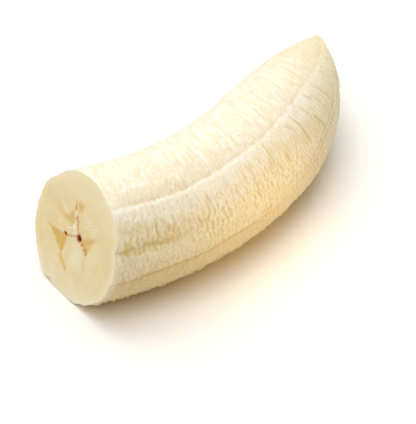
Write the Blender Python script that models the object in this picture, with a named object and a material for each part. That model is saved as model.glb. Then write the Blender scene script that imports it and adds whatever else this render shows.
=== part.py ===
"""Peeled banana with one end cut off, lying on its side.

The flesh is a single solid. A rounded, slightly five-sided section is drawn along a centreline that
bends in plan. It tapers to a blunt tip at one end, and is sliced off at a slant at the other.

Units are metres and +Z is up. The origin is on the resting plane, under the middle of the piece.
+X runs from the cut end to the tip, and -Y is the outer side of the bend.
"""

from math import atan2, cos, exp, pi, radians, sin

import bmesh
import bpy
from mathutils import Matrix, Vector

# Centreline, from the middle of the cut face to where the tip rounds over
CENTRELINE_LENGTH = 0.1262
BEND = radians(59.8)          # change of heading from cut to tip, easing off to straight at the tip

# Thickness
MAIN_RADIUS = 0.0162          # between the corners of the section
PRESSED_FLAT = 0.0003         # of the underside where it rests
CENTRE_HEIGHT = MAIN_RADIUS - PRESSED_FLAT
TAPER_LENGTH = 0.0678
TAPER_START_EASE = 2.3        # higher keeps the taper full for longer
TAPER_END_EASE = 1.11         # 1 ends the taper as a cone
TIP_RADIUS = 0.0025
TIP_SLOPE = radians(20.0)     # of the taper where the tip rounds over

# The five soft corners of the section: the angle, how far it stands out, and half its width.
# 0 faces the outer side of the bend, 90 faces up and 180 faces the inner side.
CORNERS = (
    (radians(-23.0), 0.0007, radians(17.0)),
    (radians(54.0), 0.0003, radians(20.0)),
    (radians(103.0), 0.0004, radians(26.0)),
    (radians(155.0), 0.0005, radians(15.0)),
    (radians(-118.0), 0.0008, radians(16.0)),
)

# The slanted cut: turned towards the outer side of the bend, and leaning back at its top
CUT_TURN = radians(20.3)
CUT_LEAN = radians(15.7)

# Fineness of the surface
SIDES = 64
RING_PITCH = 0.0026
TIP_ROUNDING_RINGS = 3
WALK_STEP = 0.0005
SHARP_EDGE = radians(35.0)


def heading(distance):
    """Give the centreline's heading in plan at a distance from the cut."""
    share = distance / CENTRELINE_LENGTH
    return BEND * (2.0 - share) * share


def centre(distance):
    """Give the centreline's point at a distance from the cut, summed in short steps."""
    steps = max(1, round(abs(distance) / WALK_STEP))
    step = distance / steps
    point = Vector((0.0, 0.0, CENTRE_HEIGHT))
    for index in range(steps):
        angle = heading((index + 0.5) * step)
        point += step * Vector((cos(angle), sin(angle), 0.0))
    return point


def radius_between_corners(distance):
    """Give the section's radius between its corners, up to where the tip's rounding starts."""
    full_length = CENTRELINE_LENGTH - TAPER_LENGTH
    if distance <= full_length:
        return MAIN_RADIUS
    share = min(1.0, (distance - full_length) / TAPER_LENGTH)
    fullness = (1.0 - share ** TAPER_START_EASE) ** TAPER_END_EASE
    return TIP_RADIUS + (MAIN_RADIUS - TIP_RADIUS) * fullness


def corner_reach(angle):
    """Give how far the section of the main radius stands out at an angle round it."""
    reach = 0.0
    for corner_angle, stand_out, half_width in CORNERS:
        away = (angle - corner_angle + pi) % (2.0 * pi) - pi
        reach += stand_out * exp(-((away / half_width) ** 2))
    return reach


def ring_places():
    """List the distance and radius of each ring, from beyond the cut to the tip's last ring."""
    overhang = 1.3 * MAIN_RADIUS * (sin(CUT_TURN) + sin(CUT_LEAN))
    gaps = round((CENTRELINE_LENGTH + overhang) / RING_PITCH)
    pitch = (CENTRELINE_LENGTH + overhang) / gaps
    distances = [index * pitch - overhang for index in range(gaps + 1)]
    places = [(distance, radius_between_corners(distance)) for distance in distances]
    ball_radius = TIP_RADIUS / cos(TIP_SLOPE)
    ball_middle = CENTRELINE_LENGTH - ball_radius * sin(TIP_SLOPE)
    for index in range(1, TIP_ROUNDING_RINGS + 1):
        turn = TIP_SLOPE + (0.5 * pi - TIP_SLOPE) * index / (TIP_ROUNDING_RINGS + 0.5)
        places.append((ball_middle + ball_radius * sin(turn), ball_radius * cos(turn)))
    return places


def add_ring(mesh, distance, radius):
    """Add one section as a closed loop of edges, square to the centreline."""
    middle = centre(distance)
    plan_angle = heading(min(distance, CENTRELINE_LENGTH))
    outward = Vector((sin(plan_angle), -cos(plan_angle), 0.0))
    upward = Vector((0.0, 0.0, 1.0))
    verts = []
    for side in range(SIDES):
        angle = 2.0 * pi * side / SIDES
        reach = radius * (1.0 + corner_reach(angle) / MAIN_RADIUS)
        verts.append(mesh.verts.new(middle + reach * (cos(angle) * outward + sin(angle) * upward)))
    return [mesh.edges.new((verts[side - 1], verts[side])) for side in range(SIDES)]


def draw_flesh(mesh):
    """Join the sections into a closed skin from beyond the cut to the tip."""
    rings = [add_ring(mesh, distance, radius) for distance, radius in ring_places()]
    for near_ring, far_ring in zip(rings, rings[1:]):
        bmesh.ops.bridge_loops(mesh, edges=near_ring + far_ring)
    bmesh.ops.edgeloop_fill(mesh, edges=rings[0])
    bmesh.ops.edgeloop_fill(mesh, edges=rings[-1])
    bmesh.ops.recalc_face_normals(mesh, faces=mesh.faces[:])


def slice_off(mesh, point, outward):
    """Take away what lies outside a plane, and close the flesh with one flat face."""
    everything = mesh.verts[:] + mesh.edges[:] + mesh.faces[:]
    cut = bmesh.ops.bisect_plane(
        mesh, geom=everything, plane_co=point, plane_no=outward, clear_outer=True
    )["geom_cut"]
    outline = [item for item in cut if isinstance(item, bmesh.types.BMEdge)]
    bmesh.ops.edgeloop_fill(mesh, edges=outline)


def cut_end(mesh):
    """Slice the thick end off at its slant, through the start of the centreline."""
    inward_plan = heading(0.0) + CUT_TURN
    outward = Vector((-cos(inward_plan) * cos(CUT_LEAN), -sin(inward_plan) * cos(CUT_LEAN), sin(CUT_LEAN)))
    slice_off(mesh, centre(0.0), outward)


def lay_in_frame(mesh):
    """Turn the chord onto +X and bring the middle of the piece over the origin."""
    chord = centre(CENTRELINE_LENGTH) - centre(0.0)
    turn = Matrix.Rotation(-atan2(chord.y, chord.x), 3, "Z")
    bmesh.ops.rotate(mesh, verts=mesh.verts[:], matrix=turn)
    across = [vert.co.x for vert in mesh.verts]
    along = [vert.co.y for vert in mesh.verts]
    middle = Vector((min(across) + max(across), min(along) + max(along), 0.0)) / 2.0
    bmesh.ops.translate(mesh, verts=mesh.verts[:], vec=-middle)


def flesh_material():
    """Make the pale cream of ripe flesh."""
    material = bpy.data.materials.new("banana_flesh")
    material.use_nodes = True
    shader = material.node_tree.nodes["Principled BSDF"]
    shader.inputs["Base Color"].default_value = (0.90, 0.78, 0.50, 1.0)
    shader.inputs["Roughness"].default_value = 0.45
    shader.inputs["Metallic"].default_value = 0.0
    return material


def build_flesh():
    """Make the one solid of the piece."""
    mesh = bmesh.new()
    draw_flesh(mesh)
    cut_end(mesh)
    slice_off(mesh, Vector((0.0, 0.0, 0.0)), Vector((0.0, 0.0, -1.0)))
    lay_in_frame(mesh)
    data = bpy.data.meshes.new("banana_flesh")
    mesh.to_mesh(data)
    mesh.free()
    data.shade_smooth()
    data.set_sharp_from_angle(angle=SHARP_EDGE)
    data.materials.append(flesh_material())
    flesh = bpy.data.objects.new("banana_flesh", data)
    bpy.context.collection.objects.link(flesh)


def main():
    for old in list(bpy.data.objects):
        bpy.data.objects.remove(old)
    build_flesh()


main()
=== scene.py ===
"""Peeled banana piece: its fine surface and finish, on a pale floor in soft studio light.

Everything is in metres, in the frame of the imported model. Angles round the flesh are measured as 0 on
the outer side of the bend, 90 on top and 180 on the inner side.
"""

from math import atan2, cos, pi, radians, sin

import bpy
import numpy as np
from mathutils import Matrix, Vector


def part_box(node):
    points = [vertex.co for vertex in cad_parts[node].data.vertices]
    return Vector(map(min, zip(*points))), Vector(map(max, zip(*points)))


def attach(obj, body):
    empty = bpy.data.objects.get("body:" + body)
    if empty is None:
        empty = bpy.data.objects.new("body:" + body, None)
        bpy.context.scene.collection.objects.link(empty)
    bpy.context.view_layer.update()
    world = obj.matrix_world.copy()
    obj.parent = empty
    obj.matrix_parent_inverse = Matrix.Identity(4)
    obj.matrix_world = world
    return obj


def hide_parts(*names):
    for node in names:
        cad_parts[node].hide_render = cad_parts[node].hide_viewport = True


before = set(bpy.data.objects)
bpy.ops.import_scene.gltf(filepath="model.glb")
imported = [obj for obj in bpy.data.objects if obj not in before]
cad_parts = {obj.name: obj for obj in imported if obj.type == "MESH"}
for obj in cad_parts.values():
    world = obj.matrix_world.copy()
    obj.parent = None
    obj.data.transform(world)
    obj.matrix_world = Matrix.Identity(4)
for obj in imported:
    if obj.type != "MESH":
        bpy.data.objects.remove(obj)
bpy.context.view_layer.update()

MM = 0.001

# The flesh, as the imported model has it
CENTRELINE_LENGTH = 126.2 * MM
BEND = radians(59.8)
MAIN_RADIUS = 16.2 * MM
PRESSED_FLAT = 0.3 * MM
CENTRE_HEIGHT = MAIN_RADIUS - PRESSED_FLAT
TAPER_LENGTH = 67.8 * MM
TAPER_START_EASE = 2.3
TAPER_END_EASE = 1.11
TIP_RADIUS = 2.5 * MM
TIP_SLOPE = radians(20.0)
CORNERS = (                        # the angle, how far each stands out, and its half width
    (radians(-23.0), 0.7 * MM, radians(17.0)),
    (radians(54.0), 0.3 * MM, radians(20.0)),
    (radians(103.0), 0.4 * MM, radians(26.0)),
    (radians(155.0), 0.5 * MM, radians(15.0)),
    (radians(-118.0), 0.8 * MM, radians(16.0)),
)
CUT_TURN = radians(20.3)
CUT_LEAN = radians(15.7)

# Fineness of the flesh: columns round it, rings along it and rings across the cut face
COLUMNS = 176
SIDE_RINGS = 490
FACE_RINGS = 34
FACE_EASE = 0.85                   # below 1, the rings of the face lie closer near its rim
LAST_FACE_RING = 0.985             # how far out the ring next to the rim lies
CROWDED_SIDE = radians(20.0)       # the columns are closest here
CROWDING = 1.4
CROWDED_WIDTH = radians(60.0)
WALK_STEP = 0.2 * MM               # of the walk along the centreline
STEPS_BEFORE_CUT = 150
BEYOND_CUT = 30.0 * MM             # how far the plain form runs on past the cut
PROFILE_STEP = 0.25 * MM
TIP_STEPS = 40                     # of the profile round the ball of the tip
CUT_SEARCH = 20.0 * MM             # the cut lies within this of its middle, along the flesh
HALVINGS = 40
FLOOR_SOFTNESS = 0.15 * MM         # of the edge where the underside is pressed flat
RIM_WIDTH = 1.3 * MM               # of the pale skin behind the rim of the cut
BARE_TIP = 4.0 * MM                # the relief fades out over this last length of the tip
SHARP_EDGE = radians(58.0)         # edges that turn more than this stay sharp
MERGE_REACH = 0.001 * MM           # points closer than this are one

# Lines that run along the flesh: millimetres from the cut, and degrees round it
MAIN_SEAM = ((0, 53.5), (14, 52), (24, 51.2), (38, 55), (51, 57.5), (66, 62), (82, 63.5), (128, 63.5))
STRAND = (
    (52, -1.5), (60, 1.5), (66, 7), (71, 13.5), (76, 16),
    (82, 19), (87, 25), (94, 33), (104, 44), (112, 54),
)
UPPER_LEDGE = ((0, 36), (9, 34), (18, 29), (40, 24))
VALLEY = ((0, 17.5), (8, 16.5), (17, 15.5), (40, 11), (60, 4))
LOW_LEDGE = ((0, -13), (6, -13), (9, -12), (14, -10.5), (20, -11), (40, -9), (60, -12))
INNER_SEAMS = (
    ((0, 128), (60, 126), (128, 118)),
    ((0, 182), (50, 178), (128, 184)),
    ((0, -140), (40, -146), (128, -136)),
    ((0, -66), (60, -62), (128, -58)),
)

# Split places across the flesh, in millimetres and degrees: distance from the cut, the angles they run
# between, how far they lean towards the tip on the way, and how deep they are
SPLITS = (
    (77.6, 62, 29, 4.2, 0.42), (61.0, 55, 21, 2.2, 0.44), (69.4, 38, 20, 2.6, 0.40),
    (57.8, 53, 40, 1.0, 0.34), (47.6, 53, 32, 0.2, 0.38), (40.2, 44, 29, 0.4, 0.20),
    (40.6, 33, 15, -0.2, 0.16), (32.6, 47, 33, 0.2, 0.16), (12.2, 43, 29, -0.2, 0.10),
    (14.8, 42, 20, -0.4, 0.20), (16.4, 38, 22, -0.2, 0.14), (18.3, 46, 31, 0.1, 0.12),
    (20.5, 41, 25, -0.3, 0.14), (23.0, 46, 34, 0.2, 0.11), (88.4, 58, 46, 1.6, 0.34),
    (71.6, 60, 45, 1.6, 0.34), (52.4, 36, 22, 0.8, 0.30), (27.4, 44, 30, -0.2, 0.12),
    (66.4, 58, 34, 1.8, 0.34), (74.0, 56, 30, 2.4, 0.34), (82.0, 112, 92, -5.5, 0.30),
    (64.0, 104, 84, -4.0, 0.30), (71.0, 92, 76, -2.5, 0.30), (56.0, 86, 70, -1.5, 0.30),
    (46.0, 148, 122, 1.2, 0.34), (70.0, 168, 140, -1.4, 0.34), (30.0, 196, 170, 0.8, 0.34),
    (56.0, -150, -176, 1.0, 0.34), (84.0, -118, -150, -1.2, 0.34), (36.0, -96, -122, 0.6, 0.34),
    (74.0, -24, -50, 1.6, 0.34), (50.0, -34, -62, -0.8, 0.34),
)

# Paler and darker patches, in millimetres and degrees: distance from the cut, angle, half length,
# half width and paleness. The pale ones on the panel below the main seam are painted light; the dark ones
# are partly the flesh's own tan blotches, partly painted shade in the valley
PATCHES = (
    (9.0, 37.0, 4.2, 2.4, -0.60), (10.0, 17.5, 7.0, 1.6, -0.50), (15.0, 59.5, 9.0, 2.2, -0.45),
    (27.0, 58.5, 9.0, 2.0, -0.35), (12.0, 48.0, 14.0, 1.8, 0.55), (36.0, 50.0, 12.0, 1.8, 0.40),
    (61.0, 58.0, 12.0, 1.5, 0.35), (84.0, 59.0, 14.0, 1.8, 0.35), (64.0, 30.0, 6.0, 3.2, -0.55),
    (52.0, 36.0, 6.0, 3.0, -0.40), (73.0, 27.0, 4.0, 1.6, -0.45), (80.0, 30.0, 5.0, 2.0, -0.25),
    (56.0, 70.0, 12.0, 1.6, -0.25), (20.0, 75.0, 14.0, 4.0, -0.12), (30.0, 42.0, 16.0, 3.0, 0.20),
    (80.0, 72.0, 10.0, 1.5, -0.20), (18.0, 45.0, 14.0, 4.0, 0.20), (86.0, 44.0, 13.0, 5.0, -0.25),
    (10.0, -24.0, 14.0, 4.0, -0.40), (92.0, 16.0, 14.0, 6.0, -0.15),
)

# Dents in the rim of the cut: the angle, the depth and the half width
RIM_DENTS = (
    (radians(-108.0), 1.1 * MM, radians(3.5)),
    (radians(-88.0), 0.3 * MM, radians(5.0)),
    (radians(-18.0), 0.35 * MM, radians(4.0)),
    (radians(138.0), 0.35 * MM, radians(6.0)),
    (radians(96.0), 0.2 * MM, radians(7.0)),
    (radians(18.0), 0.3 * MM, radians(6.0)),
)

# The middle of the cut face, in millimetres: level and rising distances in its plane, and each seed's
# radius
SEEDS = ((1.3, 0.50, 0.86), (-4.5, -1.3, 0.48))
SEED_SINK = 0.75 * MM
SEED_SHAPE = (1.15, 0.9, 0.8)       # its stretch level, rising and outwards
LEFT_HOLLOW = ((-11.6, -2.3), (-3.4, -1.3), (-4.5, -7.0))
RIGHT_HOLLOW = ((2.2, 0.5), (8.3, 3.9), (5.4, -2.0))
UPPER_HOLLOW = ((-5.6, 3.1), (-2.2, 6.6), (-1.8, 1.6))
HOLLOW_DEPTH = 0.35 * MM

# Steady noise, the same each time
NOISE_CELLS = 48
NOISE_SLOPES = np.random.default_rng(11).uniform(-1.0, 1.0, (NOISE_CELLS, NOISE_CELLS, NOISE_CELLS, 3))

# The camera
VIEW_AZIMUTH = radians(-56.66)
VIEW_ELEVATION = radians(36.0)
VIEW_DISTANCE = 0.3167
VIEW_TARGET = Vector((-0.01167, -0.00063, -0.0008))
LENS_MM = 98.07
SENSOR_MM = 36.0

# The lights: how far each is turned round from the camera's side, its elevation and its power
LIGHTS = {
    "top_light": (180.0, 85.0, 4.7),
    "back_light": (175.0, 52.0, 2.7),
    "left_light": (230.0, 45.0, 2.7),
    "front_left_light": (325.0, 42.0, 2.9),
    "right_light": (105.0, 28.0, 1.35),
    "front_light": (10.0, 55.0, 0.65),
}
LIGHT_DISTANCE = 0.9
LIGHT_SIZE = 0.8
ROOM_BRIGHTNESS = 0.02

# The floor
FLOOR_SIZE = 6.0
FLOOR_DROP = 0.1 * MM

# The small warm light low in front
BOUNCE_PLACE = Vector((-0.024, -0.052, 0.020))
BOUNCE_BACK = Vector((0.10, -1.0, 0.35))
BOUNCE_WIDTH = 0.050
BOUNCE_HEIGHT = 0.034
BOUNCE_POWER = 0.0050
BOUNCE_COLOUR = (1.0, 0.62, 0.12)


# ---------------------------------------------------------------------------------- the form

def heading(distance):
    """Give the centreline's heading in plan at a distance from the cut, before it is turned."""
    share = distance / CENTRELINE_LENGTH
    return BEND * (2.0 - share) * share


def centreline():
    """Walk the centreline in short steps, with its chord turned onto +X."""
    count = STEPS_BEFORE_CUT + int((CENTRELINE_LENGTH + 2.0 * TIP_RADIUS) / WALK_STEP)
    distances = (np.arange(count) - STEPS_BEFORE_CUT) * WALK_STEP
    middles = heading(distances[:-1] + 0.5 * WALK_STEP)
    x = np.concatenate(([0.0], np.cumsum(np.cos(middles)))) * WALK_STEP
    y = np.concatenate(([0.0], np.cumsum(np.sin(middles)))) * WALK_STEP
    x -= x[STEPS_BEFORE_CUT]
    y -= y[STEPS_BEFORE_CUT]
    chord = atan2(np.interp(CENTRELINE_LENGTH, distances, y), np.interp(CENTRELINE_LENGTH, distances, x))
    turned_x = x * cos(chord) + y * sin(chord)
    turned_y = y * cos(chord) - x * sin(chord)
    return {"distance": distances, "x": turned_x, "y": turned_y, "chord": chord}


LINE = centreline()


def bend(distance, outward, upward):
    """Move points from the straight flesh, given along, outwards and up, onto the bent centreline."""
    angle = heading(distance) - LINE["chord"]
    x = np.interp(distance, LINE["distance"], LINE["x"]) + outward * np.sin(angle)
    y = np.interp(distance, LINE["distance"], LINE["y"]) - outward * np.cos(angle)
    return np.column_stack((x, y, CENTRE_HEIGHT + upward))


def taper_radius(distance):
    """Give the radius between the section's corners, up to where the tip rounds over."""
    share = np.clip((distance - CENTRELINE_LENGTH + TAPER_LENGTH) / TAPER_LENGTH, 0.0, 1.0)
    fullness = (1.0 - share ** TAPER_START_EASE) ** TAPER_END_EASE
    return TIP_RADIUS + (MAIN_RADIUS - TIP_RADIUS) * fullness


def side_profile():
    """List distance, radius and length over the surface, from beyond the cut to the end of the tip."""
    along = np.arange(-BEYOND_CUT, CENTRELINE_LENGTH, PROFILE_STEP)
    turns = np.linspace(TIP_SLOPE, 0.5 * pi, TIP_STEPS)
    ball = TIP_RADIUS / cos(TIP_SLOPE)
    distance = np.concatenate((along, CENTRELINE_LENGTH + ball * (np.sin(turns) - sin(TIP_SLOPE))))
    radius = np.concatenate((taper_radius(along), ball * np.cos(turns)))
    length = np.concatenate(([0.0], np.cumsum(np.hypot(np.diff(distance), np.diff(radius)))))
    return distance, radius, length - np.interp(0.0, distance, length)


PROFILE_DISTANCE, PROFILE_RADIUS, PROFILE_LENGTH = side_profile()


def wrapped(angle):
    """Bring angles to between minus and plus half a turn."""
    return (angle + pi) % (2.0 * pi) - pi


def swell(angle, middle, half_width):
    """Give 1 at an angle round the flesh, falling softly to 0 on both sides of it."""
    return np.exp(-((wrapped(angle - middle) / half_width) ** 2))


def corner_share(angle):
    """Give how far the section stands out at its soft corners, as a share of the main radius."""
    reach = np.zeros_like(angle)
    for corner_angle, stand_out, half_width in CORNERS:
        reach += stand_out * swell(angle, corner_angle, half_width)
    return reach / MAIN_RADIUS


def cut_axes():
    """Give the cut face's outward normal, and its level and rising directions within the face."""
    inward = CUT_TURN - LINE["chord"]
    outward = Vector((-cos(inward) * cos(CUT_LEAN), -sin(inward) * cos(CUT_LEAN), sin(CUT_LEAN)))
    level = Vector((-outward.y, outward.x, 0.0)).normalized()
    rising = level.cross(outward)
    if rising.z < 0.0:
        rising.negate()
    return np.array(outward), np.array(level), np.array(rising)


CUT_OUTWARD, CUT_LEVEL, CUT_RISING = cut_axes()
CUT_MIDDLE = np.array((LINE["x"][STEPS_BEFORE_CUT], LINE["y"][STEPS_BEFORE_CUT], CENTRE_HEIGHT))


def cut_distance(angle):
    """Find how far along the straight flesh the cut lies at each angle, by halving."""
    low = np.full_like(angle, -CUT_SEARCH)
    high = np.full_like(angle, CUT_SEARCH)
    for _ in range(HALVINGS):
        middle = 0.5 * (low + high)
        reach = np.interp(middle, PROFILE_DISTANCE, PROFILE_RADIUS) * (1.0 + corner_share(angle))
        points = bend(middle, reach * np.cos(angle), reach * np.sin(angle))
        outside = (points - CUT_MIDDLE) @ CUT_OUTWARD > 0.0
        low = np.where(outside, middle, low)
        high = np.where(outside, high, middle)
    return 0.5 * (low + high)


def column_angles():
    """Space the columns round the flesh, closer together on the side with the finest lines."""
    fine = np.linspace(-pi, pi, 4001)
    density = 1.0 + CROWDING * swell(fine, CROWDED_SIDE, CROWDED_WIDTH)
    total = np.concatenate(([0.0], np.cumsum(0.5 * (density[1:] + density[:-1]))))
    return np.interp(np.arange(COLUMNS) / COLUMNS * total[-1], total, fine)


def ring_distances(ring, cut):
    """Space the rings evenly over the surface, from the slanted cut to the tip."""
    share = np.clip((ring - FACE_RINGS) / SIDE_RINGS, 0.0, 1.0)
    distance = np.interp(share * PROFILE_LENGTH[-1], PROFILE_LENGTH, PROFILE_DISTANCE)
    return distance + cut * (1.0 - share) ** 2


# ---------------------------------------------------------------------------------- the relief

def rumple(points, pitch, start):
    """Sample smooth noise at points, measured in the pitch along each axis, in the range -1 to 1."""
    place = points / np.array(pitch) + np.array(start)
    cell = np.floor(place).astype(int)
    part = place - cell
    ease = part * part * part * (part * (part * 6.0 - 15.0) + 10.0)
    total = np.zeros(len(points))
    for corner in np.ndindex(2, 2, 2):
        weight = np.prod(np.where(corner, ease, 1.0 - ease), axis=1)
        spot = (cell + corner) % NOISE_CELLS
        slope = NOISE_SLOPES[spot[:, 0], spot[:, 1], spot[:, 2]]
        total += weight * np.sum(slope * (part - corner), axis=1)
    return 1.5 * total


def line_angle(line, distance):
    """Read a line's angle round the flesh at each distance."""
    along, angles = np.array(line, dtype=float).T
    return np.radians(np.interp(distance / MM, along, angles))


def smooth(low, high, value):
    """Rise from 0 to 1 between two values, level at both ends."""
    share = np.clip((value - low) / (high - low), 0.0, 1.0)
    return share * share * (3.0 - 2.0 * share)


def across(line, distance, angle, radius):
    """Give the distance over the surface from a line, positive on its upper side."""
    return wrapped(angle - line_angle(line, distance)) * radius


def ridge(off, middle, width):
    """Give 1 where a point is a number of millimetres off a line, falling softly to 0 beside it."""
    return np.exp(-(((off - middle * MM) / (width * MM)) ** 2))


def main_seam(distance, off, wander):
    """Give the height and crease of the long seam, with a lip below it and a sunken shelf above it."""
    near = 1.0 - smooth(30.0 * MM, 72.0 * MM, distance)
    groove = ridge(off, 0.25, 0.38) * (0.75 + 0.25 * near + 0.6 * wander)
    lip = ridge(off, -0.75, 0.65) * (0.1 + 0.9 * near) * (1.0 + 0.7 * wander)
    shelf = smooth(-1.2 * MM, 0.6 * MM, off) * np.exp(-np.clip(off, 0.0, None) / (4.0 * MM))
    height = -0.10 * MM * groove + 0.03 * MM * lip - 0.26 * MM * shelf * (0.4 + 0.6 * near)
    # The crease paints the groove and the sunken shelf above it darker: partly their own tan, partly painted
    # shade.
    return height, 0.55 * groove + 0.28 * shelf * (1.0 + wander) - 0.10 * lip


def upper_ledge(distance, off):
    """Give the height and crease of the soft step behind the cut."""
    fade = 1.0 - smooth(14.0 * MM, 34.0 * MM, distance)
    step = smooth(-0.9 * MM, 0.9 * MM, off) * np.exp(-np.clip(off, 0.0, None) / (3.0 * MM))
    return fade * 0.30 * MM * step, 0.35 * fade * ridge(off, -1.5, 1.3)


def valley(distance, off, wander):
    """Give the height and crease of the valley behind the cut, with a brow above it."""
    fade = 1.0 - smooth(10.0 * MM, 30.0 * MM, distance)
    dip = ridge(off, 0.0, 1.15) * fade
    brow = ridge(off, 2.6, 1.3) * fade
    # The crease paints the valley's dip darker: partly its own tint, partly painted shade.
    return -0.70 * MM * dip + 0.28 * MM * brow, (0.62 + 0.6 * wander) * dip


def low_ledge(distance, off):
    """Give the height and crease of the slit low on the side, where the flesh above overhangs it."""
    fade = 1.0 - smooth(30.0 * MM, 58.0 * MM, distance)
    slit = ridge(off, 0.0, 0.34) * fade
    under = smooth(-0.3 * MM, 0.3 * MM, -off) * np.exp(np.clip(off, None, 0.0) / (3.2 * MM)) * fade
    brow = ridge(off, 1.1, 1.0) * fade
    # The crease paints the slit darker, partly its own tint and partly painted shade, and the band under the
    # overhang as painted shade.
    return -0.50 * MM * slit - 0.42 * MM * under + 0.22 * MM * brow, slit + 0.25 * under


def strand(distance, off):
    """Give the height and crease of the pair of cords that runs up to the tip."""
    fade = smooth(54.0 * MM, 62.0 * MM, distance) * (1.0 - smooth(86.0 * MM, 99.0 * MM, distance))
    cords = ridge(off, 0.0, 0.34) + 0.8 * ridge(off, -1.5, 0.34)
    beside = ridge(off, -0.75, 0.36) + 0.7 * ridge(off, 0.75, 0.36)
    return fade * (0.30 * MM * cords - 0.30 * MM * beside), fade * (0.95 * beside - 0.6 * cords)


def inner_seam(off, lip_height):
    """Give the height and crease of a plain seam."""
    groove = ridge(off, 0.0, 0.45)
    lip = ridge(off, -0.9, 0.8)
    return -0.20 * MM * groove + lip_height * lip, 0.5 * groove


def seam_relief(distance, angle, radius, wander):
    """Give the height of the seams, strands and ledges, and how deep in a crease each point is."""
    def off(line, straying):
        """Give the distance from a line that strays a little from side to side."""
        return across(line, distance, angle, radius) + straying * MM * wander

    reliefs = [
        main_seam(distance, off(MAIN_SEAM, 0.30), wander),
        upper_ledge(distance, off(UPPER_LEDGE, 0.5)),
        valley(distance, off(VALLEY, 0.45), wander),
        low_ledge(distance, off(LOW_LEDGE, 0.3)),
        strand(distance, off(STRAND, 0.30)),
    ]
    for index, line in enumerate(INNER_SEAMS):
        reliefs.append(inner_seam(off(line, 0.4), (0.10 + 0.02 * index) * MM))
    return sum(height for height, _ in reliefs), sum(crease for _, crease in reliefs)


def split_relief(distance, angle, wander):
    """Give the height and crease of the splits that run across the flesh."""
    height = np.zeros_like(distance)
    crease = np.zeros_like(distance)
    for along, start, end, lean, depth in SPLITS:
        middle = radians(0.5 * (start + end))
        half = radians(0.5 * abs(start - end))
        part = wrapped(angle - middle) / half
        path = (along - 0.5 * lean * (part * np.sign(start - end) - 1.0)) * MM + 0.28 * MM * wander
        ends = np.clip(1.0 - part ** 2, 0.0, None) ** 0.6
        slit = ends * ridge(distance - path, 0.0, 0.33)
        brow = ends * ridge(distance - path, -0.70, 0.36)
        height += 0.85 * depth * MM * (0.3 * brow - slit)
        crease += 3.4 * depth * slit - 1.3 * depth * brow
    return height, crease


def patch_tone_and_light(distance, angle, radius, drift):
    """Give how much paler or darker each patch is painted, as the flesh's own blotches, painted light and
    painted shade.
    """
    tone = np.zeros_like(distance)
    for along, patch_angle, half_length, half_width, paleness in PATCHES:
        run = (distance - along * MM) / (half_length * MM)
        rise = wrapped(angle - radians(patch_angle)) * radius / (half_width * MM)
        tone += paleness * np.exp(-(run ** 2) - rise ** 2) * (1.0 + 0.8 * drift)
    return tone


def combed(distance, angle, radius):
    """Shift distances so that marks across the flesh lean towards the tip on both sides of the seam."""
    off = across(MAIN_SEAM, distance, angle, radius)
    above = np.clip(off, 0.0, 16.0 * MM)
    below = np.clip(-off, 0.0, 14.0 * MM)
    later = smooth(15.0 * MM, 75.0 * MM, distance)
    return distance - later * (30.0 * above ** 2 + 0.3 * below)


def grain_relief(distance, angle, radius, straight, drift):
    """Give the height and the light and dark of the ribs, dashes and threads across the flesh."""
    comb = np.column_stack((combed(distance, angle, radius) + 0.45 * MM * drift, straight[:, 1:]))
    bands = rumple(comb, (1.0 * MM, 4.0 * MM, 4.0 * MM), (2.9, 4.1, 8.8))
    dashes = rumple(comb, (0.62 * MM, 1.9 * MM, 1.9 * MM), (6.2, 1.4, 3.6))
    threads = rumple(comb, (0.40 * MM, 0.9 * MM, 0.9 * MM), (0.3, 5.4, 9.6))
    fuzz = rumple(straight, (0.5 * MM, 0.5 * MM, 0.5 * MM), (7.2, 0.4, 2.6))
    phase = rumple(comb, (3.0 * MM, 1.7 * MM, 1.7 * MM), (8.8, 6.1, 0.9))
    ribs = np.sin(2.0 * pi * comb[:, 0] / (1.15 * MM) + 4.5 * phase)
    spread = rumple(straight, (8.0 * MM, 5.0 * MM, 5.0 * MM), (9.9, 3.3, 7.1))
    patchy = 0.55 + 0.45 * smooth(-0.3, 0.3, spread)
    upper = smooth(0.84, 0.96, np.sin(angle))

    height = patchy * (0.08 * MM * bands + 0.15 * MM * dashes + 0.12 * MM * threads)
    height += (0.09 - 0.05 * upper) * MM * patchy * ribs + 0.15 * MM * fuzz
    grain = patchy * ((0.25 + 0.75 * upper) * bands + 0.55 * dashes + 0.45 * threads)
    grain += (0.32 - 0.20 * upper) * patchy * ribs + 0.50 * fuzz
    return height, grain


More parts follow.
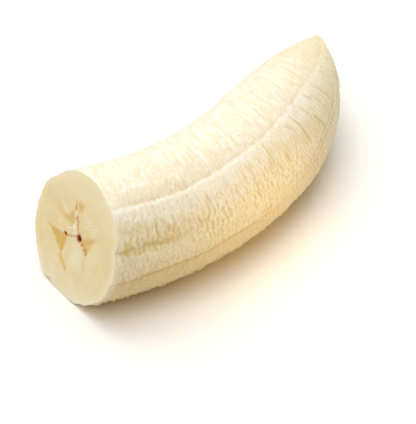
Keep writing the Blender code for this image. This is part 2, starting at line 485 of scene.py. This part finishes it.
def side_relief(distance, angle, radius, straight):
    """Give the height of the flesh's outer surface above its plain form, its creases and its grain."""
    wander = rumple(straight, (2.2 * MM, 2.2 * MM, 2.2 * MM), (3.1, 7.7, 1.9))
    lumps = rumple(straight, (9.0 * MM, 7.0 * MM, 7.0 * MM), (11.3, 2.2, 5.5))
    drift = rumple(straight, (4.0 * MM, 3.0 * MM, 3.0 * MM), (1.7, 9.1, 4.3))
    ragged = rumple(straight, (0.62 * MM, 0.8 * MM, 0.8 * MM), (4.4, 4.9, 0.7))
    calm = 1.0 - 0.8 * smooth(104.0 * MM, 122.0 * MM, distance)
    low_side = swell(angle, radians(-50.0), radians(24.0))

    grain_height, grain = grain_relief(distance, angle, radius, straight, drift)
    grain *= calm
    crease = np.clip(-grain - 0.05, 0.0, None) * 0.5
    # The patches add the flesh's own blotches, with painted light and painted shade, to the grain's light
    # and dark.
    grain += patch_tone_and_light(distance, angle, radius, drift)
    height = 0.20 * MM * lumps + calm * grain_height
    height += calm * low_side * (0.20 * MM + 1.3 * MM * np.clip(ragged - 0.05, 0.0, None))
    for dent_angle, depth, half_width in RIM_DENTS:
        dent = swell(angle, dent_angle, half_width)
        height -= depth * dent * np.exp(-np.clip(distance, 0.0, None) / (7.0 * MM))

    seam_height, seam_crease = seam_relief(distance, angle, radius, wander)
    split_height, split_crease = split_relief(distance, angle, wander)
    height += seam_height + split_height
    crease += seam_crease + split_crease
    return height, np.clip(crease, 0.0, 1.0), grain


def inward_lines(corners):
    """List the sides of a triangle on the cut face, each as its inward direction and its offset."""
    lines = []
    for index in range(3):
        start, end, apex = (np.array(corners[(index + turn) % 3]) * MM for turn in range(3))
        inward = np.array((start[1] - end[1], end[0] - start[0])) / np.linalg.norm(end - start)
        if inward @ (apex - start) < 0.0:
            inward = -inward
        lines.append((float(inward[0]), float(inward[1]), float(inward @ start)))
    return lines


def hollow(level, rising, corners):
    """Give 1 well inside a soft three-cornered hollow of the cut face and 0 outside it."""
    inside = np.full_like(level, 1.0)
    for across_level, across_rising, offset in inward_lines(corners):
        depth = level * across_level + rising * across_rising - offset
        inside = np.minimum(inside, smooth(-0.6 * MM, 1.2 * MM, depth))
    return inside


def face_relief(level, rising, share):
    """Give the height of the cut face: a little dished in its core, with ribs that fan out."""
    places = np.column_stack((level, rising, 0.0 * level))
    turn = np.arctan2(rising - 1.2 * MM, level + 1.2 * MM)
    reach = np.hypot(rising - 1.2 * MM, level + 1.2 * MM)
    fan = np.column_stack((np.cos(turn) * 6.0, np.sin(turn) * 6.0, reach / (9.0 * MM)))
    ribs = rumple(fan, (0.55, 0.55, 1.0), (3.3, 6.1, 0.4))
    grain = rumple(places, (0.9 * MM, 0.9 * MM, 1.0), (1.1, 2.4, 5.2))
    broad = rumple(places, (6.0 * MM, 6.0 * MM, 1.0), (8.1, 0.6, 2.2))
    core = np.exp(-((reach / (7.5 * MM)) ** 2))
    middle = smooth(0.6 * MM, 2.5 * MM, reach)
    height = 0.10 * MM * broad + 0.035 * MM * grain
    height += 0.12 * MM * ribs * core * middle - 0.25 * MM * core
    for corners in (LEFT_HOLLOW, RIGHT_HOLLOW, UPPER_HOLLOW):
        height -= HOLLOW_DEPTH * hollow(level, rising, corners)
    for seed_level, seed_rising, seed_size in SEEDS:
        away = np.hypot(level - seed_level * MM, rising - seed_rising * MM) / (seed_size * MM)
        height -= 0.5 * MM * np.exp(-(away ** 2))
    return height * (1.0 - smooth(0.93, 1.0, share))


def soft_floor(height):
    """Press what would sink into the surface flat onto it, with a soft edge."""
    return 0.5 * (height + np.sqrt(height ** 2 + FLOOR_SOFTNESS ** 2))


# ---------------------------------------------------------------------------------- the pieces

def leave_edit_mode():
    """Go back to object mode with nothing selected."""
    if bpy.context.mode != "OBJECT":
        bpy.ops.object.mode_set(mode="OBJECT")
    bpy.ops.object.select_all(action="DESELECT")


def pick(piece):
    """Select one piece alone and make it active."""
    leave_edit_mode()
    piece.select_set(True)
    bpy.context.view_layer.objects.active = piece


def edit_all(piece):
    """Open a piece in edit mode with all of it selected."""
    pick(piece)
    bpy.ops.object.mode_set(mode="EDIT")
    bpy.ops.mesh.select_all(action="SELECT")


def flat_grid():
    """Lay out a flat grid, a column for each step round the flesh and a ring for each step along it."""
    leave_edit_mode()
    bpy.ops.mesh.primitive_grid_add(x_subdivisions=COLUMNS, y_subdivisions=FACE_RINGS + SIDE_RINGS, size=2.0)
    return bpy.context.object


def join_meeting_edges(piece):
    """Merge the points that lie together, where a rolled-up grid meets itself."""
    edit_all(piece)
    bpy.ops.mesh.remove_doubles(threshold=MERGE_REACH)
    leave_edit_mode()


def turn_outwards(piece):
    """Point every face of a closed piece outwards."""
    edit_all(piece)
    bpy.ops.mesh.normals_make_consistent(inside=False)
    leave_edit_mode()


def read_points(mesh):
    """Read a mesh's points as rows of numbers."""
    flat = np.empty(3 * len(mesh.vertices))
    mesh.vertices.foreach_get("co", flat)
    return flat.reshape(-1, 3)


def write_points(mesh, points):
    """Write a mesh's points back."""
    mesh.vertices.foreach_set("co", points.ravel())
    mesh.update()


def add_attribute(mesh, name, kind, values):
    """Keep a value on each point, for the finish to read."""
    attribute = mesh.attributes.new(name, kind, "POINT")
    attribute.data.foreach_set("vector" if kind == "FLOAT_VECTOR" else "value", values.ravel())


def columns_and_rings(mesh):
    """Read which column and ring of the flat grid each point is in."""
    plain = read_points(mesh)
    column = np.rint(0.5 * (plain[:, 0] + 1.0) * COLUMNS).astype(int) % COLUMNS
    ring = np.rint(0.5 * (plain[:, 1] + 1.0) * (FACE_RINGS + SIDE_RINGS)).astype(int)
    return column, ring


def shift_onto_packed(plain_side):
    """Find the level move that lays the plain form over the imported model."""
    packed = [np.array(corner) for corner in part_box("banana_flesh")]
    shift = 0.5 * (packed[0] + packed[1]) - 0.5 * (plain_side.min(axis=0) + plain_side.max(axis=0))
    shift[2] = 0.0
    return shift


def fill_cut_face(points, column, ring):
    """Draw rings in from the rim to the middle of the cut face, and give the face its relief."""
    on_rim = ring == FACE_RINGS
    points[on_rim] -= np.outer((points[on_rim] - CUT_MIDDLE) @ CUT_OUTWARD, CUT_OUTWARD)
    rim = np.empty((COLUMNS, 3))
    rim[column[on_rim]] = points[on_rim]
    share = (np.clip(ring, 0, FACE_RINGS) / FACE_RINGS) ** FACE_EASE
    share[ring == FACE_RINGS - 1] = LAST_FACE_RING
    face = CUT_MIDDLE + (rim[column] - CUT_MIDDLE) * share[:, None]
    level = (face - CUT_MIDDLE) @ CUT_LEVEL
    rising = (face - CUT_MIDDLE) @ CUT_RISING
    face += np.outer(face_relief(level, rising, share), CUT_OUTWARD)
    points[ring < FACE_RINGS] = face[ring < FACE_RINGS]
    return share, np.column_stack((level, rising, 0.0 * level))


def set_flesh_finishes(mesh, ring):
    """Give the cut face its own finish and the rest of the flesh the outer one."""
    mesh.materials.append(outer_finish())
    mesh.materials.append(cut_finish())
    lowest_rings = [min(ring[vertex] for vertex in face.vertices) for face in mesh.polygons]
    mesh.polygons.foreach_set("material_index", [int(lowest < FACE_RINGS) for lowest in lowest_rings])


def form_flesh():
    """Roll the grid up into the flesh: its taper, corners, bend, cut face and surface relief."""
    flesh = flat_grid()
    flesh.name = "banana_flesh_surface"
    mesh = flesh.data
    column, ring = columns_and_rings(mesh)
    on_face = ring < FACE_RINGS
    angle = column_angles()[column]
    cut = cut_distance(column_angles())[column]
    distance = ring_distances(ring, cut)
    base = np.interp(distance, PROFILE_DISTANCE, PROFILE_RADIUS)
    radius = base * (1.0 + corner_share(angle))
    plain_form = bend(distance, radius * np.cos(angle), radius * np.sin(angle))
    shift = shift_onto_packed(plain_form[~on_face])

    straight = np.column_stack((distance, base * np.cos(angle), base * np.sin(angle)))
    height, crease, grain = side_relief(distance, angle, np.maximum(base, TIP_RADIUS), straight)
    raised = radius + height * smooth(0.0, BARE_TIP, PROFILE_DISTANCE[-1] - distance)
    points = bend(distance, raised * np.cos(angle), raised * np.sin(angle))
    face_share, face_place = fill_cut_face(points, column, ring)
    points[:, 2] = soft_floor(points[:, 2])
    write_points(mesh, points + shift)

    behind_rim = np.exp(-((np.clip(distance - cut, 0.0, None) / RIM_WIDTH) ** 2))
    add_attribute(mesh, "straight", "FLOAT_VECTOR", straight)
    add_attribute(mesh, "face_place", "FLOAT_VECTOR", face_place)
    # The crease is painted honey in the finish: partly the flesh's own golden tint, partly painted shade.
    add_attribute(mesh, "crease", "FLOAT", np.where(on_face, 0.0, crease))
    add_attribute(mesh, "grain", "FLOAT", grain)
    add_attribute(mesh, "rim", "FLOAT", np.where(on_face, smooth(0.86, 1.0, face_share), behind_rim))
    set_flesh_finishes(mesh, ring)
    join_meeting_edges(flesh)
    turn_outwards(flesh)
    pick(flesh)
    bpy.ops.object.shade_smooth_by_angle(angle=SHARP_EDGE)
    return flesh, shift


def add_seeds(shift):
    """Set the small undeveloped seeds into the cut face."""
    husk = seed_finish()
    axes = np.array((CUT_LEVEL, CUT_RISING, CUT_OUTWARD))
    seeds = []
    for name, (level, rising, size) in zip(("seed_large", "seed_small"), SEEDS):
        leave_edit_mode()
        bpy.ops.mesh.primitive_ico_sphere_add(subdivisions=4, radius=size * MM)
        seed = bpy.context.object
        seed.name = name
        points = read_points(seed.data)
        crinkle = rumple(points, (0.35 * MM, 0.35 * MM, 0.35 * MM), (size, 2.5, 3.5))
        points = points * (1.0 + 0.2 * crinkle)[:, None] * np.array(SEED_SHAPE)
        middle = np.array((level * MM, rising * MM, -SEED_SINK))
        write_points(seed.data, CUT_MIDDLE + shift + (points + middle) @ axes)
        seed.data.materials.append(husk)
        turn_outwards(seed)
        pick(seed)
        bpy.ops.object.shade_smooth()
        seeds.append(seed)
    return seeds


# ---------------------------------------------------------------------------------- the finishes

class Value:
    """A shader socket that can be written in sums."""

    def __init__(self, finish, socket):
        self.finish = finish
        self.socket = socket

    def sum(self, operation, *others):
        """Add the node that works out this value with the others."""
        return self.finish.node("ShaderNodeMath", {"operation": operation}, [self, *others])

    def __add__(self, other):
        return self.sum("ADD", other)

    def __radd__(self, other):
        return self.sum("ADD", other)

    def __sub__(self, other):
        return self.sum("SUBTRACT", other)

    def __rsub__(self, other):
        return self.finish.node("ShaderNodeMath", {"operation": "SUBTRACT"}, [other, self])

    def __mul__(self, other):
        return self.sum("MULTIPLY", other)

    def __rmul__(self, other):
        return self.sum("MULTIPLY", other)

    def __truediv__(self, other):
        return self.sum("DIVIDE", other)

    def __rtruediv__(self, other):
        return self.finish.node("ShaderNodeMath", {"operation": "DIVIDE"}, [other, self])

    def __pow__(self, other):
        return self.sum("POWER", other)

    def __rpow__(self, other):
        return self.finish.node("ShaderNodeMath", {"operation": "POWER"}, [other, self])

    def __neg__(self):
        return self * -1.0

    def least(self, other):
        """Give the lesser of this value and another."""
        return self.sum("MINIMUM", other)

    def most(self, other):
        """Give the greater of this value and another."""
        return self.sum("MAXIMUM", other)

    def size(self):
        """Give this value without its sign."""
        return self.sum("ABSOLUTE")

    def rise(self, low, high):
        """Rise smoothly from 0 to 1 between two values."""
        settings = {"interpolation_type": "SMOOTHSTEP"}
        inputs = {"Value": self, "From Min": low, "From Max": high}
        return self.finish.node("ShaderNodeMapRange", settings, inputs)


class Finish:
    """One material and its nodes."""

    def __init__(self, name):
        self.material = bpy.data.materials.new(name)
        self.material.use_nodes = True
        self.tree = self.material.node_tree
        self.shader = self.tree.nodes["Principled BSDF"]

    def node(self, kind, settings=None, inputs=(), output=0):
        """Add a node, set it up, feed its sockets and give one of its outputs."""
        node = self.tree.nodes.new(kind)
        for key, value in (settings or {}).items():
            setattr(node, key, value)
        pairs = inputs.items() if isinstance(inputs, dict) else enumerate(inputs)
        for key, value in pairs:
            self.feed(node.inputs[key], value)
        return Value(self, node.outputs[output])

    def feed(self, socket, value):
        """Link a value to a socket, or set the socket to it."""
        if isinstance(value, Value):
            self.tree.links.new(value.socket, socket)
        else:
            socket.default_value = value

    def noise(self, place, scale, detail=2.0, roughness=0.5):
        """Give noise in the range 0 to 1."""
        inputs = {"Vector": place, "Scale": scale, "Detail": detail, "Roughness": roughness}
        return self.node("ShaderNodeTexNoise", None, inputs)

    def stretch(self, place, scale):
        """Scale a place differently along each axis."""
        return self.node("ShaderNodeVectorMath", {"operation": "MULTIPLY"}, [place, scale])

    def kept(self, name, output="Vector"):
        """Read a value that is kept on the mesh."""
        return self.node("ShaderNodeAttribute", {"attribute_name": name}, (), output)

    def parts(self, place):
        """Split a place into its three numbers."""
        first = self.node("ShaderNodeSeparateXYZ", None, [place])
        return [Value(self, socket) for socket in first.socket.node.outputs]

    def mix(self, share, first, second):
        """Blend two colours."""
        inputs = {"Factor": share, 6: first, 7: second}
        return self.node("ShaderNodeMix", {"data_type": "RGBA"}, inputs, 2)

    def bump(self, height, strength, depth):
        """Turn a height into a surface direction."""
        inputs = {"Height": height, "Strength": strength, "Distance": depth}
        return self.node("ShaderNodeBump", None, inputs)

    def set(self, **sockets):
        """Set the shader's own sockets, named with underscores for spaces."""
        for name, value in sockets.items():
            self.feed(self.shader.inputs[name.replace("_", " ")], value)


def colour(red, green, blue):
    """Give an opaque colour."""
    return (red, green, blue, 1.0)


def make_flesh_glow(finish):
    """Let light pass a little way into the flesh, red furthest."""
    finish.set(Subsurface_Weight=0.5, Subsurface_Radius=(1.0, 0.75, 0.35), Subsurface_Scale=0.0010)
    finish.set(IOR=1.4, Specular_IOR_Level=0.4)


def outer_finish():
    """Pale, dry and slightly stringy flesh as it comes out of the peel, painted with a highlight on top and
    with shade on its lower side and underside.
    """
    finish = Finish("outer_flesh")
    straight = finish.kept("straight")
    along, _, upward = finish.parts(straight)
    crease = finish.kept("crease", "Fac")
    grain = finish.kept("grain", "Fac")
    rim = finish.kept("rim", "Fac")
    hairs = finish.noise(finish.stretch(straight, (2600.0, 700.0, 700.0)), 1.0, 2.0, 0.55)
    tone = finish.noise(straight, 110.0, 3.0, 0.6)
    specks = finish.noise(straight, 1500.0, 2.0, 0.6)
    flecks = finish.noise(straight, 2300.0, 1.0, 0.5)
    lower = (-upward).rise(-0.013, 0.004)
    # Painted highlight: the top of the flesh is painted paler and whiter, less so towards the tip, where the
    # lights make it brightest.
    painted_top_highlight = upward.rise(0.004, 0.014) * (0.5 - 0.35 * along.rise(0.062, 0.105))

    cream = colour(0.895, 0.785, 0.52)
    light_cream = colour(0.925, 0.825, 0.59)
    pale = colour(0.955, 0.905, 0.75)
    white = colour(0.97, 0.94, 0.83)
    highlight_white = colour(0.955, 0.872, 0.755)
    rim_cream = colour(0.94, 0.885, 0.68)
    straw = colour(0.905, 0.745, 0.43)
    tan = colour(0.81, 0.665, 0.32)
    shade_tan = colour(0.69, 0.545, 0.265)
    honey = colour(0.70, 0.50, 0.13)
    warm_shade_amber = colour(0.80, 0.49, 0.08)
    base = finish.mix(tone.rise(0.35, 0.68), cream, light_cream)
    base = finish.mix(grain.rise(0.0, 0.38) * 0.9, base, pale)
    base = finish.mix((-grain).rise(0.0, 0.36) * 0.95, base, tan)
    base = finish.mix((hairs - 0.5).rise(0.02, 0.2) * 0.4, base, pale)
    base = finish.mix((0.5 - hairs).rise(0.02, 0.2) * 0.3, base, tan)
    base = finish.mix(flecks.rise(0.50, 0.62) * (0.20 + 0.42 * lower), base, white)
    base = finish.mix((1.0 - flecks).rise(0.50, 0.62) * (0.14 + 0.42 * lower), base, tan)
    # Creases painted honey: partly the flesh's own golden tint in splits and seams, partly painted shade in
    # grooves and under overhangs.
    base = finish.mix(crease * 0.85, base, honey)
    # Painted shade: the lower side is painted a duller tan where shade falls on it.
    base = finish.mix((-upward).rise(-0.007, 0.008) * 0.74, base, shade_tan)
    base = finish.mix(along.rise(0.062, 0.120) * 0.66, base, straw)
    # Painted shade: the underside is painted a deep amber, which also warms the light it bounces onto the
    # floor beside it.
    base = finish.mix((-upward).rise(0.0085, 0.0150) * 0.8, base, warm_shade_amber)
    # The painted highlight on top.
    base = finish.mix(painted_top_highlight, base, highlight_white)
    base = finish.mix(rim * 0.6, base, rim_cream)
    finish.set(Base_Color=base, Roughness=0.56 - 0.12 * specks)
    finish.set(Normal=finish.bump(hairs * 0.6 + specks * 0.4, 0.8, 0.0002))
    finish.set(Sheen_Weight=0.3, Sheen_Roughness=0.5)
    make_flesh_glow(finish)
    return finish.material


def soft_triangle(place, corners, softness):
    """Give 1 inside a triangle on the cut face and 0 outside it, with a soft edge."""
    level, rising = place
    depths = [level * across_level + rising * across_rising - offset
              for across_level, across_rising, offset in inward_lines(corners)]
    inside = depths[0].least(depths[1]).least(depths[2])
    return inside.rise(-softness * MM, softness * MM)


def soft_spot(place, middle, size):
    """Give 1 at a spot on the cut face, fading to 0 at its size."""
    level, rising = place
    away = ((level - middle[0] * MM) ** 2 + (rising - middle[1] * MM) ** 2) ** 0.5
    return 1.0 - away.rise(0.3 * size * MM, size * MM)


def soft_streak(place, start, end, width):
    """Give 1 along a streak on the cut face, fading to 0 at its sides and ends."""
    level, rising = place
    first = np.array(start) * MM
    second = np.array(end) * MM
    length = float(np.linalg.norm(second - first))
    run = (second - first) / length
    along = (level - float(first[0])) * float(run[0]) + (rising - float(first[1])) * float(run[1])
    aside = (rising - float(first[1])) * float(run[0]) - (level - float(first[0])) * float(run[1])
    middle = (along - 0.5 * length).size() / (0.5 * length)
    return (1.0 - aside.size().rise(0.0, width * MM)) * (1.0 - middle.rise(0.6, 1.15))


def most_of(masks):
    """Give the strongest of several masks at each place."""
    strongest = masks[0]
    for mask in masks[1:]:
        strongest = strongest.most(mask)
    return strongest


def pale_petals(place, sharp):
    """Mask the pale petal below the core and the pale ribs that fan out above it."""
    petal = soft_triangle(place, ((0.4, 0.6), (-1.8, -9.4), (5.2, -5.8)), 1.3)
    rib_ends = ((2.6, 8.6), (4.4, 8.4), (6.2, 8.2), (7.8, 7.6), (9.0, 6.9))
    return petal.most(most_of([soft_streak(sharp, (0.6, 3.2), end, 0.32) for end in rib_ends]))


def golden_shades(place):
    """Mask the broad, faintly golden places round the core."""
    return most_of([
        soft_streak(place, (-10.6, 5.0), (-3.4, 2.2), 1.7) * 0.75,
        soft_streak(place, (4.7, -2.2), (5.6, -6.4), 0.9) * 0.8,
        soft_triangle(place, ((-0.6, 5.2), (2.6, 10.2), (-3.4, 9.4)), 0.9) * 0.6,
        soft_spot(place, (0.0, 2.0), 6.5) * 0.35,
    ])


def honey_patches(place, sharp):
    """Mask the honey-coloured hollows between the carpels and the marks beyond them."""
    return most_of([
        soft_triangle(place, LEFT_HOLLOW, 0.55),
        soft_triangle(place, RIGHT_HOLLOW, 0.9) * 0.75,
        soft_triangle(place, UPPER_HOLLOW, 0.9) * 0.75,
        soft_streak(place, (-5.2, -7.0), (-3.4, -8.8), 1.3) * 0.8,
        soft_streak(place, (-3.9, -8.3), (-1.2, -10.0), 1.3) * 0.8,
        soft_triangle(place, ((-1.2, 8.9), (1.7, 9.5), (0.1, 6.9)), 0.6) * 0.75,
        soft_streak(sharp, (-2.3, 8.6), (-1.7, 6.2), 0.45) * 0.8,
        soft_spot(sharp, (6.4, 2.3), 1.3) * 0.8,
    ])


def white_fibres(sharp):
    """Mask the star of white fibres in the core."""
    return most_of([
        soft_spot(sharp, (-1.5, 2.1), 1.2),
        soft_spot(sharp, (-0.7, 0.8), 1.0) * 0.9,
        soft_streak(sharp, (-2.0, 7.0), (-0.7, 4.3), 0.42) * 0.9,
        soft_streak(sharp, (-0.9, 4.8), (-1.3, 2.2), 0.4) * 0.8,
        soft_streak(sharp, (-1.5, 1.9), (-4.6, 0.4), 0.4) * 0.5,
    ])


def brown_cracks(sharp):
    """Mask the thin brown cracks between the seeds and the brown specks beside the right hollow."""
    return most_of([
        soft_streak(sharp, (-4.2, -1.5), (-1.5, -0.5), 0.45),
        soft_streak(sharp, (-1.7, -0.6), (0.6, 0.9), 0.45),
        soft_streak(sharp, (-0.9, 5.6), (0.1, 3.2), 0.75),
        soft_streak(sharp, (-1.6, 3.9), (-0.6, 5.6), 0.6),
        soft_streak(sharp, (0.0, 3.5), (0.9, 1.2), 0.5),
        soft_streak(sharp, (-5.4, -3.0), (-4.6, -6.2), 0.7) * 0.5,
        soft_spot(sharp, (4.3, -1.0), 0.95),
        soft_spot(sharp, (5.1, -1.7), 0.85),
        soft_spot(sharp, (3.2, -0.4), 0.8) * 0.8,
    ])


def cut_finish():
    """Moist cut flesh: pale, with a fibrous core, ribs that fan out and honey-coloured hollows."""
    finish = Finish("cut_flesh")
    face = finish.kept("face_place")
    rim = finish.kept("rim", "Fac")
    level, rising, _ = finish.parts(face)
    sway = finish.noise(face, 480.0, 3.0, 0.6) - 0.5
    sway_up = finish.noise(face, 570.0, 3.0, 0.6) - 0.5
    place = (level + sway * 0.0018, rising + sway_up * 0.0018)
    sharp = (level + sway * 0.0007, rising + sway_up * 0.0007)
    core_level = place[0] + 0.6 * MM
    core_rising = place[1] - 1.6 * MM
    reach = (core_level ** 2 + core_rising ** 2) ** 0.5
    turn = core_rising.sum("ARCTAN2", core_level)
    turned = [turn.sum("COSINE"), turn.sum("SINE"), reach * 40.0]
    circle = finish.node("ShaderNodeCombineXYZ", None, turned)
    rays = finish.noise(circle, 6.0, 2.0, 0.5)
    fine_rays = finish.noise(circle, 15.0, 2.0, 0.5)
    tone = finish.noise(face, 170.0, 3.0, 0.6)
    grain = finish.noise(face, 1500.0, 2.0, 0.6)
    broken = finish.noise(face, 1100.0, 2.0, 0.5).rise(0.38, 0.56)
    near_core = 1.0 - (reach - 0.006).rise(0.0, 0.006)
    honeyed = honey_patches(place, sharp)
    slit = soft_streak(sharp, (-1.9, 8.1), (-1.7, 6.5), 0.35)

    cream = colour(0.86, 0.70, 0.375)
    pale = colour(0.90, 0.765, 0.46)
    light_cream = colour(0.945, 0.80, 0.49)
    white = colour(0.93, 0.86, 0.66)
    fibre_white = colour(0.95, 0.90, 0.74)
    rim_cream = colour(0.94, 0.86, 0.66)
    golden = colour(0.82, 0.62, 0.26)
    honey = colour(0.78, 0.47, 0.095)
    brown = colour(0.62, 0.27, 0.05)
    dark_brown = colour(0.36, 0.16, 0.04)
    red_brown = colour(0.42, 0.09, 0.010)
    base = finish.mix(tone.rise(0.35, 0.7), cream, pale)
    # Painted light: the upper part of the cut face is painted paler, where the lights fall on it most.
    base = finish.mix(rising.rise(0.003, 0.015) * 0.85, base, light_cream)
    base = finish.mix((-rising).rise(0.006, 0.015) * 0.4, base, white)
    base = finish.mix((rays - 0.5).rise(0.0, 0.15) * near_core * 0.55, base, white)
    base = finish.mix((0.5 - fine_rays).rise(0.0, 0.18) * near_core * 0.45, base, golden)
    base = finish.mix(pale_petals(place, sharp) * 0.45, base, white)
    base = finish.mix(golden_shades(place) * 0.9, base, golden)
    base = finish.mix(honeyed * (0.5 + 0.6 * grain), base, honey)
    base = finish.mix(white_fibres(sharp) * 0.85, base, fibre_white)
    base = finish.mix(brown_cracks(sharp) * (0.25 + 0.65 * broken), base, brown)
    base = finish.mix(slit * 0.8, base, dark_brown)
    for seed_level, seed_rising, size in SEEDS:
        base = finish.mix(soft_spot(sharp, (seed_level, seed_rising), 1.8 * size) * 0.95, base, red_brown)
    base = finish.mix(rim * 0.5, base, rim_cream)
    finish.set(Base_Color=base, Roughness=0.40 + 0.14 * grain)
    finish.set(Normal=finish.bump(rays * 0.4 + grain * 0.3 - honeyed * 0.5, 0.5, 0.0003))
    make_flesh_glow(finish)
    finish.set(Specular_IOR_Level=0.15)
    return finish.material


def seed_finish():
    """Dark, dry seed husk."""
    finish = Finish("seed_husk")
    place = finish.node("ShaderNodeTexCoord", None, (), "Object")
    tone = finish.noise(place, 1800.0, 3.0, 0.6)
    base = finish.mix(tone.rise(0.35, 0.65), colour(0.14, 0.010, 0.002), colour(0.36, 0.06, 0.010))
    finish.set(Base_Color=base, Roughness=0.6 - 0.1 * tone, Specular_IOR_Level=0.05)
    finish.set(Normal=finish.bump(tone, 0.5, 0.0001))
    return finish.material


# ---------------------------------------------------------------------------------- the setting

def add_floor():
    """Lay a plain pale floor just under the piece."""
    leave_edit_mode()
    bpy.ops.mesh.primitive_plane_add(size=FLOOR_SIZE, location=(0.0, 0.0, -FLOOR_DROP))
    floor = bpy.context.object
    floor.name = "floor"
    finish = Finish("pale_floor")
    finish.set(Base_Color=colour(0.95, 0.93, 0.89), Roughness=0.6)
    floor.data.materials.append(finish.material)


def away_from_piece(azimuth, elevation):
    """Give the direction from the piece towards an azimuth and elevation."""
    return Vector((sin(azimuth) * cos(elevation), -cos(azimuth) * cos(elevation), sin(elevation)))


def hang_area_light(name, place, back, power):
    """Hang a light at a place, with its back turned the way that is given."""
    leave_edit_mode()
    bpy.ops.object.light_add(type="AREA", location=place)
    light = bpy.context.object
    light.name = name
    light.rotation_euler = back.to_track_quat("Z", "Y").to_euler()
    light.data.energy = power
    return light.data


def add_light():
    """Light the piece mostly from above and behind, with a little from the front."""
    world = bpy.data.worlds.new("pale_room")
    bpy.context.scene.world = world
    world.use_nodes = True
    world.node_tree.nodes["Background"].inputs["Color"].default_value = colour(1.0, 1.0, 1.0)
    world.node_tree.nodes["Background"].inputs["Strength"].default_value = ROOM_BRIGHTNESS
    for name, (turn, elevation, power) in LIGHTS.items():
        back = away_from_piece(VIEW_AZIMUTH + radians(turn), radians(elevation))
        light = hang_area_light(name, back * LIGHT_DISTANCE, back, power)
        light.shape = "SQUARE"
        light.size = LIGHT_SIZE
    bpy.context.scene.view_settings.view_transform = "Standard"


def add_warm_bounce():
    """Stand a small warm light low in front, for the glow that more fruit beside the piece would give."""
    light = hang_area_light("warm_bounce", BOUNCE_PLACE, BOUNCE_BACK, BOUNCE_POWER)
    light.shape = "RECTANGLE"
    light.size = BOUNCE_WIDTH
    light.size_y = BOUNCE_HEIGHT
    light.color = BOUNCE_COLOUR


def add_camera():
    """Place the camera."""
    back = away_from_piece(VIEW_AZIMUTH, VIEW_ELEVATION)
    leave_edit_mode()
    bpy.ops.object.camera_add(location=VIEW_TARGET + back * VIEW_DISTANCE)
    camera = bpy.context.object
    camera.rotation_euler = back.to_track_quat("Z", "Y").to_euler()
    camera.data.lens = LENS_MM
    camera.data.sensor_width = SENSOR_MM
    camera.data.clip_start = 0.01
    bpy.context.scene.camera = camera


def main():
    """Set up the room, and make the flesh and its seeds."""
    add_camera()
    add_light()
    add_warm_bounce()
    add_floor()
    flesh, shift = form_flesh()
    pieces = [flesh, *add_seeds(shift)]
    for piece in pieces:
        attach(piece, "root")
    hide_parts("banana_flesh")


main()
